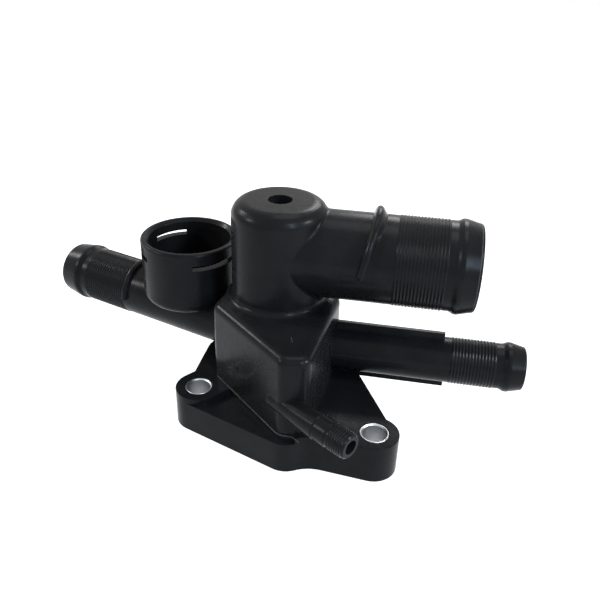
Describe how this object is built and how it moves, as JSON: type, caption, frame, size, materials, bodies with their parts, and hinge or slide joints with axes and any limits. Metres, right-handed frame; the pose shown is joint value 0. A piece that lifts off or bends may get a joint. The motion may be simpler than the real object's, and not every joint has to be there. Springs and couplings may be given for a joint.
{
  "type": "thermostat housing",
  "caption": "Black moulded coolant thermostat housing: bolted flange, domed tower with large side outlet, ribbed hose spigots, slotted clip socket, bleed nipple and a sliding wax valve.",
  "frame": {"origin": "on the tower's axis in the plane of the mounting face", "axes": "+Z along the tower away from the mounting face, +X along the large outlet, +Y away from the nose"},
  "size_m": [0.1975, 0.109, 0.0825],
  "materials": {
    "moulding": "satin black, glass filled",
    "sleeve": "turned",
    "seal": "moulded",
    "steel": "pressed and bright",
    "capsule": "drawn"
  },
  "bodies": {
    "housing": {"housing": "moulding", "sleeve_left": "sleeve", "sleeve_right": "sleeve", "sleeve_rear": "sleeve", "flange_seal": "seal", "piston_pin": "steel", "return_spring": "steel", "spring_yoke": "steel"},
    "valve": {"wax_capsule": "capsule", "capsule_guide": "capsule", "valve_plate": "steel", "valve_seal": "seal"}
  },
  "joints": [
    {"name": "valve_lift", "type": "slide", "parent": "housing", "child": "valve", "axis": [0, 0, -1], "range_m": [0, 0.008], "stiffness_N_per_m": 1500, "springref_m": -0.01, "deforming": ["return_spring"]}
  ]
}
